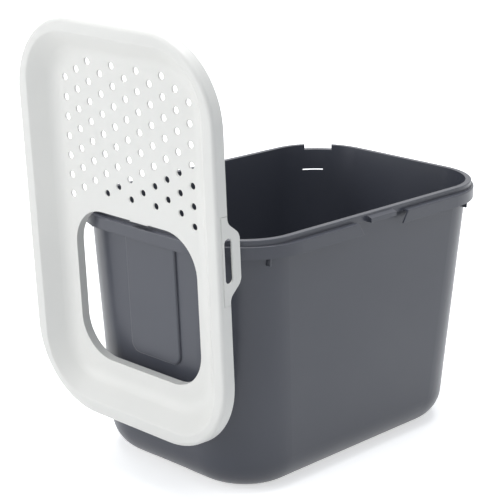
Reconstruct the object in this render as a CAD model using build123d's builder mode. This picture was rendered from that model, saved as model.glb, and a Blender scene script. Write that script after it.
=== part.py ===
from build123d import *
import os
from math import cos, radians, sin, sqrt

os.makedirs("parts", exist_ok=True)

# ---- tub, driving dimensions in mm ----
RIM_LENGTH = 581.0  # over the rim flange, along X
RIM_WIDTH = 388.0  # over the rim flange, along Y
RIM_CORNER = 117.0  # plan radius of the flange corners
TUB_HEIGHT = 385.0  # floor to the top of the lip
RIM_REACH = 18.0  # inside edge of the lip to the flange face
LIP_CORNER = 86.0  # plan radius of the inside edge of the lip
LIP_BAND = 9.0  # flat top of the lip
LIP_RISE = 8.0  # lip above the ledge
FLANGE_HEIGHT = 18.0  # ledge top to the bottom of the flange
TUB_WALL = 2.4
BASE_LENGTH = 496.0  # outside of the walls where they meet the floor
BASE_WIDTH = 331.0
BASE_CORNER = 96.0
BASE_FILLET = 50.0  # floor-to-wall radius outside
CHANNEL_WIDTH = 118.0  # raised strip under the floor between the two runners
CHANNEL_RISE = 12.0
CHANNEL_SLOPE = 30.0  # run of each curved side of the strip
LIP_FILLET = 1.4
LEDGE_FILLET = 2.0

# ---- pad on each end wall ----
PANEL_WIDTH = 100.0
PANEL_FOOT = 180.0  # height of its lower edge above the floor
PANEL_PROUD = 3.5  # how far its face stands off the wall
PANEL_CORNER = 16.0
PANEL_EDGE = 3.0  # rounding of the pad's outer edges

# ---- catch on each long side ----
GAP_TOP = 112.0  # opening in the ledge and flange, made for a clip tab
GAP_FOOT = 86.0
CATCH_LENGTH = 56.0
CATCH_HEIGHT = 9.0
CATCH_LEAD = 3.0  # fall of the sloping upper face
CATCH_BITE = 1.6  # how far the bar reaches into the slot of the tab

# ---- pouring corner ----
SPOUT_WIDTH = 45.0  # cut in the lip at one corner
VENT_WIDTH = 34.0  # slit in the wall below it
VENT_HEIGHT = 2.0
VENT_DROP = 42.0  # lip top to the slit
VENT_SHIFT = 8.0  # along the wall from the middle of the corner

# ---- lid ----
LID_WALL = 2.2
LID_INSET = 0.3  # lid outline inside the flange face, each side
SKIRT_DEPTH = 18.0  # crown top to the skirt edge, which stands on the ledge
SKIRT_TAPER = 5.0  # degrees
FLOOR_DROP = 28.0  # crown top to the sunken panel
CROWN_EDGE = 6.0  # outer radius of the crown
CROWN_INNER = 4.0  # radius where the crown turns down into the panel
TRAY_CLEAR = 0.7  # sunken part to the lip when the lid is shut
TRAY_RUN = 32.0  # run of the slope from crown to sunken panel
TRAY_FILLET = 36.0  # radius where the slope runs into the sunken panel
ENTRY_WIDTH = 244.0
ENTRY_LENGTH = 224.0
ENTRY_CORNER = 58.0
ENTRY_OFFSET = 12.4  # lid centre to the inner edge of the entry
ENTRY_FLANGE = 13.0  # depth of the turned edge round the entry

# ---- drain holes in the sunken panel ----
HOLE_PITCH = 28.1
HOLE_DIA = 9.4
HOLE_SINK = 0.8  # each hole is wider by this at the outer face, all round
HOLE_CENTRE = 127.0  # lid centre to the middle of the hole field
HOLE_COLUMNS = 10
HOLE_ROWS = 14

# ---- clip tabs on the two long sides of the lid ----
TAB_BASE = 122.0
TAB_ROOT = 7.0  # crown top to the root line of the tab
TAB_REACH = 39.0  # crown top to the tip of the tab
TAB_SHOULDER = 102.0  # width where the sloping sides start
TAB_TIP = 66.0
TAB_INNER_R = 14.0
TAB_OUTER_R = 16.0
TAB_SIDE_GAP = 0.35
SLOT_LENGTH = 62.0
SLOT_HEIGHT = 13.4
SLOT_DROP = 17.2  # crown top to the middle of the slot

# ---- lid hung on the end of the tub ----
LEAN = radians(4.0)  # the lid leans back, its top away from the tub
HANG_GAP = 0.3  # hook underside above the lip
HANG_CLEAR = 0.4  # turned edge of the entry to the flange face
HOOK_WIDTH = 36.0
HOOK_DROP = 6.7  # entry edge to the underside of the hook
HOOK_RETURN = 6.0  # how far the hook turns down behind the lip
HOOK_GAP = 1.8  # hook return to the lip, room to lift it out

# ---- heights and half sizes that follow from them ----
LEDGE_Z = TUB_HEIGHT - LIP_RISE
FLANGE_Z = LEDGE_Z - FLANGE_HEIGHT
LIP_INNER_X = RIM_LENGTH / 2 - RIM_REACH
LIP_INNER_Y = RIM_WIDTH / 2 - RIM_REACH
WALL_X = LIP_INNER_X + TUB_WALL
WALL_Y = LIP_INNER_Y + TUB_WALL
WALL_R = LIP_CORNER + TUB_WALL
OVER = 1.0  # overrun of cutting solids


def end_wall_x(height):
    return BASE_LENGTH / 2 + (WALL_X - BASE_LENGTH / 2) * height / TUB_HEIGHT


def side_wall_y(height):
    return BASE_WIDTH / 2 + (WALL_Y - BASE_WIDTH / 2) * height / TUB_HEIGHT


# ================= tub =================
# Outside of the tub body, tapering down to the floor.
with BuildPart() as tub_body:
    with BuildSketch(Plane.XY):
        RectangleRounded(BASE_LENGTH, BASE_WIDTH, BASE_CORNER)
    with BuildSketch(Plane.XY.offset(TUB_HEIGHT)):
        RectangleRounded(2 * WALL_X, 2 * WALL_Y, WALL_R)
    loft(ruled=True)
    fillet(tub_body.edges().group_by(Axis.Z)[0], BASE_FILLET)

# Space inside the walls, one wall thickness smaller all round.
with BuildPart() as tub_space:
    with BuildSketch(Plane.XY.offset(TUB_WALL)):
        RectangleRounded(BASE_LENGTH - 2 * TUB_WALL, BASE_WIDTH - 2 * TUB_WALL, BASE_CORNER - TUB_WALL)
    with BuildSketch(Plane.XY.offset(TUB_HEIGHT)):
        RectangleRounded(2 * LIP_INNER_X, 2 * LIP_INNER_Y, LIP_CORNER)
    loft(ruled=True)
    fillet(tub_space.edges().group_by(Axis.Z)[0], BASE_FILLET - TUB_WALL)

# Raised strip under the floor that leaves a runner along each long side. Its
# curved sides meet the floor at a low angle and run level into its top.
SIDE_IN = (-2, 1)
SIDE_LEVEL = (-1, 0)
with BuildPart() as channel:
    with BuildSketch(Plane.YZ):
        with BuildLine():
            side = Spline(
                (CHANNEL_WIDTH / 2, 0),
                (CHANNEL_WIDTH / 2 - CHANNEL_SLOPE, CHANNEL_RISE),
                tangents=(SIDE_IN, SIDE_LEVEL),
            )
            Line(side @ 1, (0, CHANNEL_RISE))
            Line(side @ 0, (CHANNEL_WIDTH / 2, -OVER))
            Line((CHANNEL_WIDTH / 2, -OVER), (0, -OVER))
            mirror(about=Plane.YZ)
        make_face()
    extrude(amount=BASE_LENGTH, both=True)

# The same strip one wall thickness higher, kept out of the space inside.
with BuildPart() as channel_roof:
    with BuildSketch(Plane.YZ):
        with BuildLine():
            side = Spline(
                (CHANNEL_WIDTH / 2 + TUB_WALL, TUB_WALL),
                (CHANNEL_WIDTH / 2 + TUB_WALL - CHANNEL_SLOPE, CHANNEL_RISE + TUB_WALL),
                tangents=(SIDE_IN, SIDE_LEVEL),
            )
            Line(side @ 1, (0, CHANNEL_RISE + TUB_WALL))
            Line(side @ 0, (CHANNEL_WIDTH / 2 + TUB_WALL, TUB_WALL - OVER))
            Line((CHANNEL_WIDTH / 2 + TUB_WALL, TUB_WALL - OVER), (0, TUB_WALL - OVER))
            mirror(about=Plane.YZ)
        make_face()
    extrude(amount=BASE_LENGTH, both=True)

# Low pad at one end that follows the wall from the flange down.
with BuildPart() as panel:
    with BuildSketch(Plane.XZ):
        with BuildLine():
            Polyline(
                (end_wall_x(LEDGE_Z) - TUB_WALL / 2, LEDGE_Z - TUB_WALL / 2),
                (end_wall_x(LEDGE_Z) + PANEL_PROUD, LEDGE_Z - TUB_WALL / 2),
                (end_wall_x(PANEL_FOOT) + PANEL_PROUD, PANEL_FOOT),
                (end_wall_x(PANEL_FOOT) - TUB_WALL / 2, PANEL_FOOT),
                close=True,
            )
        make_face()
    extrude(amount=PANEL_WIDTH / 2, both=True)
    with BuildSketch(Plane.YZ):
        with Locations((0, PANEL_FOOT + LEDGE_Z / 2)):
            RectangleRounded(PANEL_WIDTH, LEDGE_Z, PANEL_CORNER)
    extrude(amount=RIM_LENGTH, mode=Mode.INTERSECT)
    pad_face = panel.faces().sort_by(SortBy.AREA)[-2:].sort_by(Axis.X)[-1]
    fillet(pad_face.edges(), PANEL_EDGE)

# Catch bar on one long side, under the lip, reaching into the slot of the tab.
LIP_OUTER_Y = LIP_INNER_Y + LIP_BAND
CATCH_TIP_Y = RIM_WIDTH / 2 - LID_INSET - LID_WALL + CATCH_BITE
CATCH_Z = LEDGE_Z + SKIRT_DEPTH - SLOT_DROP - CATCH_HEIGHT / 2
with BuildPart() as catch:
    with BuildSketch(Plane.YZ):
        with BuildLine():
            Polyline(
                (side_wall_y(CATCH_Z) - TUB_WALL / 2, CATCH_Z),
                (CATCH_TIP_Y, CATCH_Z),
                (CATCH_TIP_Y, CATCH_Z + CATCH_HEIGHT - CATCH_LEAD),
                (LIP_OUTER_Y, CATCH_Z + CATCH_HEIGHT),
                (side_wall_y(CATCH_Z) - TUB_WALL / 2, CATCH_Z + CATCH_HEIGHT),
                close=True,
            )
        make_face()
    extrude(amount=CATCH_LENGTH / 2, both=True)

with BuildPart() as tub:
    # rim: flange and ledge, hollow underneath
    with BuildSketch(Plane.XY.offset(FLANGE_Z)):
        RectangleRounded(RIM_LENGTH, RIM_WIDTH, RIM_CORNER)
    extrude(amount=FLANGE_HEIGHT)
    fillet(tub.edges().group_by(Axis.Z)[-1], LEDGE_FILLET)
    with BuildSketch(Plane.XY.offset(FLANGE_Z)):
        RectangleRounded(
            RIM_LENGTH - 2 * TUB_WALL,
            RIM_WIDTH - 2 * TUB_WALL,
            RIM_CORNER - TUB_WALL,
        )
    extrude(amount=FLANGE_HEIGHT - TUB_WALL, mode=Mode.SUBTRACT)
    # openings in the ledge and flange, one on each long side
    with BuildSketch(Plane.XZ):
        with BuildLine():
            Polyline(
                (-GAP_FOOT / 2, FLANGE_Z - OVER),
                (-GAP_TOP / 2, LEDGE_Z + OVER),
                (GAP_TOP / 2, LEDGE_Z + OVER),
                (GAP_FOOT / 2, FLANGE_Z - OVER),
                close=True,
            )
        make_face()
    extrude(amount=RIM_WIDTH, both=True, mode=Mode.SUBTRACT)
    # lip standing on the ledge
    with BuildSketch(Plane.XY.offset(LEDGE_Z - TUB_WALL)):
        RectangleRounded(2 * (LIP_INNER_X + LIP_BAND), 2 * LIP_OUTER_Y, LIP_CORNER + LIP_BAND)
    extrude(amount=LIP_RISE + TUB_WALL)
    fillet(tub.edges().group_by(Axis.Z)[-1], LIP_FILLET)
    # body and the parts that stand off it
    add(tub_body.part)
    add(panel.part)
    add(mirror(panel.part, about=Plane.YZ, mode=Mode.PRIVATE))
    # inside
    add(tub_space.part, mode=Mode.SUBTRACT)
    add(catch.part)
    add(mirror(catch.part, about=Plane.XZ, mode=Mode.PRIVATE))
    # floor strip between the runners
    add(channel_roof.part & tub_body.part)
    add(channel.part, mode=Mode.SUBTRACT)
    # pouring corner: lower lip and the slit under it
    corner = Plane(
        origin=(LIP_INNER_X - LIP_CORNER, LIP_INNER_Y - LIP_CORNER, 0),
        x_dir=(1, 1, 0),
        z_dir=(0, 0, 1),
    )
    with BuildSketch(corner.offset(LEDGE_Z)):
        with Locations((LIP_CORNER + LIP_BAND / 2, 0)):
            Rectangle(3 * LIP_BAND, SPOUT_WIDTH)
    extrude(amount=LIP_RISE + OVER, mode=Mode.SUBTRACT)
    with BuildSketch(corner.offset(TUB_HEIGHT - VENT_DROP)):
        with Locations((LIP_CORNER, VENT_SHIFT)):
            Rectangle(3 * LIP_BAND, VENT_WIDTH)
    extrude(amount=VENT_HEIGHT, mode=Mode.SUBTRACT)


# ================= lid =================
# The lid hangs over the -X end: a hook goes over the lip and the turned edge of
# the entry bears on the flange.
SIN_L = sin(LEAN)
COS_L = cos(LEAN)
SHUT_X = RIM_LENGTH / 2 - LID_INSET
SHUT_Y = RIM_WIDTH / 2 - LID_INSET
SHUT_R = RIM_CORNER - LID_INSET
PANEL_W = SKIRT_DEPTH - FLOOR_DROP  # face of the sunken panel above the skirt edge
PANEL_UNDER = PANEL_W - LID_WALL
FLANGE_W = PANEL_W - ENTRY_FLANGE  # deep edge of the turned edge round the entry
LID_Z = TUB_HEIGHT + HANG_GAP + HOOK_DROP - ENTRY_OFFSET * COS_L + FLANGE_W * SIN_L
BEAR_Y = (FLANGE_Z - LID_Z + FLANGE_W * SIN_L) / COS_L
LID_X = -RIM_LENGTH / 2 - HANG_CLEAR + BEAR_Y * SIN_L + FLANGE_W * COS_L
# x runs across the lid, y up its length, z out of its face
lid_plane = Plane(origin=(LID_X, 0, LID_Z), x_dir=(0, -1, 0), z_dir=(-COS_L, 0, -SIN_L))
LID_UP = Axis((LID_X, 0, LID_Z), (-COS_L, 0, -SIN_L))
TRAY_X = LIP_INNER_X - TRAY_CLEAR
TRAY_Y = LIP_INNER_Y - TRAY_CLEAR
TRAY_R = LIP_CORNER - TRAY_CLEAR
ENTRY_MID = ENTRY_OFFSET - ENTRY_LENGTH / 2

# Space under the crown between the skirt and the sunken part.
with BuildPart() as skirt_space:
    with BuildSketch(lid_plane):
        RectangleRounded(2 * (SHUT_Y - LID_WALL), 2 * (SHUT_X - LID_WALL), SHUT_R - LID_WALL)
    extrude(amount=SKIRT_DEPTH - LID_WALL, taper=SKIRT_TAPER)
    fillet(skirt_space.edges().group_by(LID_UP)[-1], CROWN_EDGE - LID_WALL)

# Underside of the sunken part.
with BuildPart() as tray_outside:
    with BuildSketch(lid_plane.offset(SKIRT_DEPTH - LID_WALL / 2)):
        RectangleRounded(2 * TRAY_Y, 2 * TRAY_X, TRAY_R)
    with BuildSketch(lid_plane.offset(PANEL_UNDER)):
        RectangleRounded(2 * (TRAY_Y - TRAY_RUN), 2 * (TRAY_X - TRAY_RUN), TRAY_R - TRAY_RUN)
    loft(ruled=True)
    fillet(tray_outside.edges().group_by(LID_UP)[0], TRAY_FILLET + LID_WALL)

# Hollow of the sunken part, seen from outside.
with BuildPart() as tray_inside:
    with BuildSketch(lid_plane.offset(SKIRT_DEPTH)):
        RectangleRounded(2 * (TRAY_Y - LID_WALL), 2 * (TRAY_X - LID_WALL), TRAY_R - LID_WALL)
    with BuildSketch(lid_plane.offset(PANEL_W)):
        RectangleRounded(
            2 * (TRAY_Y - LID_WALL - TRAY_RUN),
            2 * (TRAY_X - LID_WALL - TRAY_RUN),
            TRAY_R - LID_WALL - TRAY_RUN,
        )
    loft(ruled=True)
    fillet(tray_inside.edges().group_by(LID_UP)[0], TRAY_FILLET)

# Centres of the drain holes: a triangular field that fans out to the corners.
STEP_X = HOLE_PITCH * sqrt(3) / 2
STEP_Y = HOLE_PITCH / 2
hole_cells = [(column, 0) for column in (2, 4, 6, 8)]
for row in range(1, HOLE_ROWS):
    first = 1 if row % 2 == 1 else 0
    for column in range(first, HOLE_COLUMNS + 1, 2):
        hole_cells.append((column, row))
hole_cells.append((0, HOLE_ROWS))
hole_cells.append((HOLE_COLUMNS, HOLE_ROWS))
hole_centres = [
    (
        (column - HOLE_COLUMNS / 2) * STEP_X,
        HOLE_CENTRE + (HOLE_ROWS / 2 - row) * STEP_Y,
    )
    for column, row in hole_cells
]

with BuildPart() as lid:
    with BuildSketch(lid_plane):
        RectangleRounded(2 * SHUT_Y, 2 * SHUT_X, SHUT_R)
    extrude(amount=SKIRT_DEPTH, taper=SKIRT_TAPER)
    fillet(lid.edges().group_by(LID_UP)[-1], CROWN_EDGE)
    add(skirt_space.part, mode=Mode.SUBTRACT)
    add(tray_outside.part)
    add(tray_inside.part, mode=Mode.SUBTRACT)
    fillet(lid.edges().group_by(LID_UP)[-1], CROWN_INNER)
    # turned edge round the entry, then the entry itself
    with BuildSketch(lid_plane.offset(FLANGE_W)):
        with Locations((0, ENTRY_MID)):
            RectangleRounded(
                ENTRY_WIDTH + 2 * LID_WALL,
                ENTRY_LENGTH + 2 * LID_WALL,
                ENTRY_CORNER + LID_WALL,
            )
    extrude(amount=ENTRY_FLANGE)
    with BuildSketch(lid_plane.offset(FLANGE_W - OVER)):
        with Locations((0, ENTRY_MID)):
            RectangleRounded(ENTRY_WIDTH, ENTRY_LENGTH, ENTRY_CORNER)
    extrude(amount=ENTRY_FLANGE + 2 * OVER, mode=Mode.SUBTRACT)
    # drain holes with a countersunk rim
    with Locations(lid_plane.offset(PANEL_W)):
        with Locations(*hole_centres):
            CounterSinkHole(
                radius=HOLE_DIA / 2,
                counter_sink_radius=HOLE_DIA / 2 + HOLE_SINK,
                depth=LID_WALL + OVER,
                counter_sink_angle=90,
            )
    # notches in the skirt for the clip tabs
    with BuildSketch(lid_plane.offset(-OVER)):
        Rectangle(2 * SHUT_Y + OVER, TAB_BASE + 2 * TAB_SIDE_GAP)
        Rectangle(2 * (SHUT_Y - 2 * LID_WALL), TAB_BASE + 4 * TAB_SIDE_GAP, mode=Mode.SUBTRACT)
    extrude(amount=SKIRT_DEPTH - TAB_ROOT + OVER, mode=Mode.SUBTRACT)
    # hook over the lip, hanging from the deep end of the turned edge
    with BuildSketch(lid_plane.offset(FLANGE_W)):
        with Locations((0, ENTRY_OFFSET + (LID_WALL - HOOK_DROP / COS_L) / 2)):
            Rectangle(HOOK_WIDTH, LID_WALL + HOOK_DROP / COS_L)
    extrude(amount=LID_WALL)
    HOOK_ROOT_X = LID_X - ENTRY_OFFSET * SIN_L - (FLANGE_W + LID_WALL / 2) * COS_L
    HOOK_END_X = -LIP_INNER_X + HOOK_GAP + LID_WALL
    with BuildSketch(Plane.XY.offset(TUB_HEIGHT + HANG_GAP)):
        with Locations(((HOOK_ROOT_X + HOOK_END_X) / 2, 0)):
            Rectangle(HOOK_END_X - HOOK_ROOT_X, HOOK_WIDTH)
    extrude(amount=LID_WALL)
    with BuildSketch(Plane.XY.offset(TUB_HEIGHT - HOOK_RETURN)):
        with Locations((HOOK_END_X - LID_WALL / 2, 0)):
            Rectangle(LID_WALL, HOOK_WIDTH)
    extrude(amount=HOOK_RETURN + HANG_GAP + LID_WALL / 2)

# Everything is placed so that the origin is the middle of the whole object's plan.
LID_FAR_X = LID_X - (SHUT_X - CROWN_EDGE) * SIN_L - (SKIRT_DEPTH - CROWN_EDGE) * COS_L - CROWN_EDGE
PLACE = Location((-(RIM_LENGTH / 2 + LID_FAR_X) / 2, 0, 0))

# ================= clip tabs =================
TAB_HALF = TAB_BASE / 2
TIP_W = SKIRT_DEPTH - TAB_REACH
ROOT_W = SKIRT_DEPTH - TAB_ROOT
for name, side in (("clip_tab_left", 1), ("clip_tab_right", -1)):
    tab_plane = Plane(
        origin=lid_plane.from_local_coords((side * SHUT_Y, 0, 0)),
        x_dir=lid_plane.y_dir * side,
        z_dir=lid_plane.x_dir * side,
    )
    with BuildPart() as tab:
        with BuildSketch(tab_plane) as tab_face:
            with BuildLine():
                Polyline(
                    (-TAB_HALF, ROOT_W),
                    (TAB_HALF, ROOT_W),
                    (TAB_HALF, 0),
                    (TAB_SHOULDER / 2, 0),
                    (TAB_TIP / 2, TIP_W),
                    (-TAB_TIP / 2, TIP_W),
                    (-TAB_SHOULDER / 2, 0),
                    (-TAB_HALF, 0),
                    close=True,
                )
            make_face()
            shoulders = [
                v
                for v in tab_face.vertices()
                if abs(abs(tab_plane.to_local_coords(v).X) - TAB_SHOULDER / 2) < 0.01
            ]
            fillet(shoulders, TAB_INNER_R)
            tips = [
                v
                for v in tab_face.vertices()
                if abs(tab_plane.to_local_coords(v).Y - TIP_W) < 0.01
            ]
            fillet(tips, TAB_OUTER_R)
            with Locations((0, SKIRT_DEPTH - SLOT_DROP)):
                SlotOverall(SLOT_LENGTH, SLOT_HEIGHT, mode=Mode.SUBTRACT)
        extrude(amount=-LID_WALL)
    tab_placed = tab.part.moved(PLACE)
    tab_placed.label = name
    export_step(tab_placed, f"parts/{name}.step")

tub_placed = tub.part.moved(PLACE)
tub_placed.label = "tub"
export_step(tub_placed, "parts/tub.step")

lid_placed = lid.part.moved(PLACE)
lid_placed.label = "lid"
export_step(lid_placed, "parts/lid.step")
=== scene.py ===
import math

import bmesh
import bpy
from mathutils import Matrix, Vector


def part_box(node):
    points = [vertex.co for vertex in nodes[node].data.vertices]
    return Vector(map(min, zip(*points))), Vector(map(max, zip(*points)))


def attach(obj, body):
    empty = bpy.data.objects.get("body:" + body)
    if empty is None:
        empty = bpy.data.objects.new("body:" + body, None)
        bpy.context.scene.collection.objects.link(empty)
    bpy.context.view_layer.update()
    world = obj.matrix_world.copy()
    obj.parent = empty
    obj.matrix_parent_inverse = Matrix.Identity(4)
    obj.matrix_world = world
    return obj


WHITE = (1.0, 1.0, 1.0)
WARM = (1.0, 0.96, 0.91)

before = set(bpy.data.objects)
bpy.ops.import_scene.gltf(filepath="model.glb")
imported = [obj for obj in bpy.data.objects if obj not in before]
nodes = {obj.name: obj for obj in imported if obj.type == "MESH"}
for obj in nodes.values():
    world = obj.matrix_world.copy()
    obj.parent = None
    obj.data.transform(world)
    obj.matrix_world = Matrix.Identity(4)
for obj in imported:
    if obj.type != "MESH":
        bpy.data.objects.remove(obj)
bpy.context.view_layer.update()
scene = bpy.context.scene

# ---------------------------------------------------------------- camera
FRAME_PX = 500.0
FOCAL_PX = 1650.9
SENSOR_MM = 36.0
YAW = math.radians(43.5)
PITCH = math.radians(16.61)
ROLL = math.radians(-0.66)
# from the middle of the tub's plan at floor level
EYE_FROM_TUB = Vector((-1.77011, -1.61098, 0.99942))
SIGHT_RANGE = 60.0


def middle_x(obj):
    spots = [(obj.matrix_world @ Vector(corner)).x for corner in obj.bound_box]
    return (min(spots) + max(spots)) / 2


eye = EYE_FROM_TUB + Vector((middle_x(nodes["tub"]), 0.0, 0.0))
forward = Vector(
    (
        math.cos(YAW) * math.cos(PITCH),
        math.sin(YAW) * math.cos(PITCH),
        -math.sin(PITCH),
    )
)
level = Vector((math.sin(YAW), -math.cos(YAW), 0.0))
down = forward.cross(level)
cam_right = level * math.cos(ROLL) + down * math.sin(ROLL)
cam_down = down * math.cos(ROLL) - level * math.sin(ROLL)
cam_axes = Matrix((cam_right, -cam_down, -forward)).transposed()

camera_data = bpy.data.cameras.new("camera")
camera_data.sensor_width = SENSOR_MM
camera_data.sensor_fit = "HORIZONTAL"
camera_data.lens = FOCAL_PX / FRAME_PX * SENSOR_MM
camera_data.clip_end = SIGHT_RANGE
camera = bpy.data.objects.new("camera", camera_data)
camera.matrix_world = Matrix.Translation(eye) @ cam_axes.to_4x4()
scene.collection.objects.link(camera)
scene.camera = camera


# ---------------------------------------------------------------- shader nodes
NOISE_SPAN = (0.3, 0.7)  # the part of the noise's range that is used


def new_material(name):
    material = bpy.data.materials.new(name)
    material.use_nodes = True
    tree = material.node_tree
    tree.nodes.clear()
    output = tree.nodes.new("ShaderNodeOutputMaterial")
    shader = tree.nodes.new("ShaderNodeBsdfPrincipled")
    tree.links.new(shader.outputs["BSDF"], output.inputs["Surface"])
    return material, tree, shader


def noise(tree, scale, detail, roughness=0.5):
    coords = tree.nodes.new("ShaderNodeTexCoord")
    node = tree.nodes.new("ShaderNodeTexNoise")
    node.inputs["Scale"].default_value = scale
    node.inputs["Detail"].default_value = detail
    node.inputs["Roughness"].default_value = roughness
    tree.links.new(coords.outputs["Object"], node.inputs["Vector"])
    return node.outputs["Fac"]


def colour_between(tree, source, dark, light):
    node = tree.nodes.new("ShaderNodeValToRGB")
    stops = zip(node.color_ramp.elements, NOISE_SPAN, (dark, light))
    for element, position, colour in stops:
        element.position = position
        element.color = (*colour, 1.0)
    tree.links.new(source, node.inputs["Fac"])
    return node.outputs["Color"]


def map_range(tree, source, span, values, interpolation="LINEAR"):
    node = tree.nodes.new("ShaderNodeMapRange")
    node.interpolation_type = interpolation
    sockets = ("From Min", "From Max", "To Min", "To Max")
    for socket, value in zip(sockets, (*span, *values)):
        node.inputs[socket].default_value = value
    tree.links.new(source, node.inputs["Value"])
    return node.outputs["Result"]


def combine(tree, operation, first, second):
    node = tree.nodes.new("ShaderNodeMath")
    node.operation = operation
    tree.links.new(first, node.inputs[0])
    tree.links.new(second, node.inputs[1])
    return node.outputs["Value"]


def seeing_rays(tree):
    """1 for what the camera sees, straight, in reflections or through glass."""
    path = tree.nodes.new("ShaderNodeLightPath").outputs
    seen = combine(tree, "MAXIMUM", path["Is Camera Ray"], path["Is Transmission Ray"])
    return combine(tree, "MAXIMUM", seen, path["Is Glossy Ray"])


# ---------------------------------------------------------------- plastics
PLASTIC_IOR = 1.46
CLOUD_NOISE = (3.2, 4.0, 0.55)  # scale, detail, roughness
GLOSS_NOISE = (9.0, 2.0)
GRAIN_NOISE = (900.0, 2.0)
GRAIN_STRENGTH = 0.05
GRAIN_DEPTH = 0.0002
EDGE_SAMPLES = 6


def moulded_plastic(name, dark, light, rough, edge):
    """Injection-moulded plastic: faint cloudy colour, uneven gloss, fine grain."""
    material, tree, shader = new_material(name)
    cloud = noise(tree, *CLOUD_NOISE)
    colour = colour_between(tree, cloud, dark, light)
    tree.links.new(colour, shader.inputs["Base Color"])
    gloss = map_range(tree, noise(tree, *GLOSS_NOISE), NOISE_SPAN, rough)
    tree.links.new(gloss, shader.inputs["Roughness"])
    shader.inputs["IOR"].default_value = PLASTIC_IOR
    bevel = tree.nodes.new("ShaderNodeBevel")
    bevel.samples = EDGE_SAMPLES
    bevel.inputs["Radius"].default_value = edge
    bump = tree.nodes.new("ShaderNodeBump")
    bump.inputs["Strength"].default_value = GRAIN_STRENGTH
    bump.inputs["Distance"].default_value = GRAIN_DEPTH
    tree.links.new(noise(tree, *GRAIN_NOISE), bump.inputs["Height"])
    tree.links.new(bevel.outputs["Normal"], bump.inputs["Normal"])
    tree.links.new(bump.outputs["Normal"], shader.inputs["Normal"])
    return material


tub_plastic = moulded_plastic(
    "tub_plastic",
    dark=(0.056, 0.060, 0.077),
    light=(0.068, 0.072, 0.089),
    rough=(0.285, 0.35),
    edge=0.0009,
)
lid_plastic = moulded_plastic(
    "lid_plastic",
    dark=(0.738, 0.730, 0.699),
    light=(0.778, 0.770, 0.739),
    rough=(0.34, 0.44),
    edge=0.0008,
)
for name, obj in nodes.items():
    plastic = tub_plastic if name == "tub" else lid_plastic
    obj.data.materials.clear()
    obj.data.materials.append(plastic)

# ---------------------------------------------------------------- flange ribs
RIB_PLACE = 0.072  # from the flange face round the corner
RIB_THICK = 0.0026
RIB_FREE = 0.0155  # flange face to the free edge
RIB_ROOT = 0.0243  # flange face to the root, inside the wall
RIB_SLOPE = 0.0012  # the free edge comes in by this at its foot
RIB_TOP = 0.012  # below the lip, inside the flange
FLANGE_FOOT = 0.026  # lip to the lower edge of the flange
SIDE_RIB_DROP = 0.013  # below the flange, on the long sides
END_RIB_DROP = 0.007
RIB_ROUNDING = 0.0006
ROUNDING_STEPS = 2

tub_low, tub_high = (Vector(corner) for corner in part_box("tub"))
tub_middle = (tub_low + tub_high) / 2
tub_half = (tub_high - tub_low) / 2


def add_rib(mesh, side_x, side_y, on_long_side):
    foot = FLANGE_FOOT + (SIDE_RIB_DROP if on_long_side else END_RIB_DROP)
    outline = (
        (RIB_ROOT, RIB_TOP),
        (RIB_FREE, RIB_TOP),
        (RIB_FREE + RIB_SLOPE, foot),
        (RIB_ROOT, foot),
    )
    faces = []
    for shift in (-RIB_THICK / 2, RIB_THICK / 2):
        face = []
        for inset, fall in outline:
            if on_long_side:
                x, y = tub_half.x - RIB_PLACE + shift, tub_half.y - inset
            else:
                x, y = tub_half.x - inset, tub_half.y - RIB_PLACE + shift
            spot = (tub_middle.x + side_x * x, side_y * y, tub_high.z - fall)
            face.append(mesh.verts.new(spot))
        faces.append(face)
    near, far = faces
    mesh.faces.new(near)
    mesh.faces.new(far)
    for here in range(len(outline)):
        after = (here + 1) % len(outline)
        mesh.faces.new((near[here], near[after], far[after], far[here]))


rib_mesh = bmesh.new()
for side_x in (-1, 1):
    for side_y in (-1, 1):
        for on_long_side in (True, False):
            add_rib(rib_mesh, side_x, side_y, on_long_side)
bmesh.ops.recalc_face_normals(rib_mesh, faces=rib_mesh.faces)
rib_data = bpy.data.meshes.new("flange_ribs")
rib_mesh.to_mesh(rib_data)
rib_mesh.free()
ribs = bpy.data.objects.new("flange_ribs", rib_data)
scene.collection.objects.link(ribs)
ribs.data.materials.append(tub_plastic)
rounding = ribs.modifiers.new("rounding", "BEVEL")
rounding.width = RIB_ROUNDING
rounding.segments = ROUNDING_STEPS
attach(ribs, "tub_body")

# ---------------------------------------------------------------- floor
FLOOR_SIZE = 40.0
FLOOR_NOISE = (1.5, 2.0)
FLOOR_DARK = (0.90, 0.90, 0.90)
FLOOR_LIGHT = (0.92, 0.92, 0.92)
FLOOR_ROUGHNESS = 0.9
FLOOR_SPECULAR = 0.1
# where the floor is seen it is lifted to white, less near the tub for its shadow
LIFT_SPAN = (0.8, 2.2)  # distances from the middle of the floor
LIFT_STRENGTHS = (0.58, 1.0)


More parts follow.
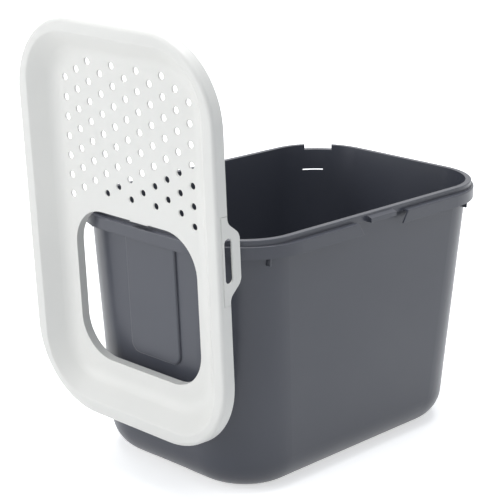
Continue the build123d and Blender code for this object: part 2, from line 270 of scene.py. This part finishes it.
def paint_floor():
    material, tree, shader = new_material("studio_floor")
    tone = colour_between(tree, noise(tree, *FLOOR_NOISE), FLOOR_DARK, FLOOR_LIGHT)
    tree.links.new(tone, shader.inputs["Base Color"])
    shader.inputs["Roughness"].default_value = FLOOR_ROUGHNESS
    shader.inputs["Specular IOR Level"].default_value = FLOOR_SPECULAR
    place = tree.nodes.new("ShaderNodeTexCoord")
    distance = tree.nodes.new("ShaderNodeVectorMath")
    distance.operation = "LENGTH"
    tree.links.new(place.outputs["Object"], distance.inputs[0])
    reach = map_range(
        tree, distance.outputs["Value"], LIFT_SPAN, LIFT_STRENGTHS, "SMOOTHSTEP"
    )
    lift = combine(tree, "MULTIPLY", seeing_rays(tree), reach)
    glow = tree.nodes.new("ShaderNodeEmission")
    glow.inputs["Color"].default_value = (*WHITE, 1.0)
    tree.links.new(lift, glow.inputs["Strength"])
    both = tree.nodes.new("ShaderNodeAddShader")
    tree.links.new(shader.outputs["BSDF"], both.inputs[0])
    tree.links.new(glow.outputs["Emission"], both.inputs[1])
    surface = tree.nodes["Material Output"].inputs["Surface"]
    tree.links.new(both.outputs["Shader"], surface)
    return material


bpy.ops.mesh.primitive_plane_add(size=FLOOR_SIZE, location=(0.0, 0.0, 0.0))
floor = bpy.context.object
floor.name = "studio_floor"
floor.data.materials.append(paint_floor())

# ---------------------------------------------------------------- light
BACKGROUND_STRENGTH = 1.0
FILL_COLOUR = (0.85, 1.0, 1.18)
FILL_STRENGTH = 0.22
LAMPS = (
    # name, position, aim, width and height, watts, colour
    ("left", (-3.6, 2.4, 1.6), (0.0, 0.0, 0.25), (2.4, 2.4), 76.0, WHITE),
    ("end", (-4.4, 0.6, 1.4), (0.0, 0.0, 0.25), (1.6, 2.0), 19.0, WARM),
    ("right", (2.4, -3.8, 1.6), (0.0, 0.0, 0.2), (3.4, 2.6), 24.0, WARM),
    ("high", (-1.25, -1.2, 3.0), (0.0, 0.0, 0.3), (2.0, 2.0), 15.0, WHITE),
    ("above", (0.2, 0.2, 3.4), (0.0, 0.0, 0.2), (2.4, 2.4), 88.0, WHITE),
)


def background(tree, colour, strength):
    node = tree.nodes.new("ShaderNodeBackground")
    node.inputs["Color"].default_value = (*colour, 1.0)
    node.inputs["Strength"].default_value = strength
    return node.outputs["Background"]


def add_world():
    """A white background where it is seen, and a faint cool fill on the object."""
    world = bpy.data.worlds.new("studio")
    scene.world = world
    world.use_nodes = True
    tree = world.node_tree
    tree.nodes.clear()
    fill = background(tree, FILL_COLOUR, FILL_STRENGTH)
    white = background(tree, WHITE, BACKGROUND_STRENGTH)
    mix = tree.nodes.new("ShaderNodeMixShader")
    tree.links.new(seeing_rays(tree), mix.inputs["Fac"])
    tree.links.new(fill, mix.inputs[1])
    tree.links.new(white, mix.inputs[2])
    output = tree.nodes.new("ShaderNodeOutputWorld")
    tree.links.new(mix.outputs["Shader"], output.inputs["Surface"])


def area_light(name, position, aim, size, power, colour):
    data = bpy.data.lights.new(name, "AREA")
    data.shape = "RECTANGLE"
    data.size, data.size_y = size
    data.energy = power
    data.color = colour
    lamp = bpy.data.objects.new(name, data)
    turn = (Vector(aim) - Vector(position)).to_track_quat("-Z", "Y")
    lamp.matrix_world = Matrix.Translation(position) @ turn.to_matrix().to_4x4()
    scene.collection.objects.link(lamp)


add_world()
for lamp_values in LAMPS:
    area_light(*lamp_values)

scene.view_settings.view_transform = "Standard"
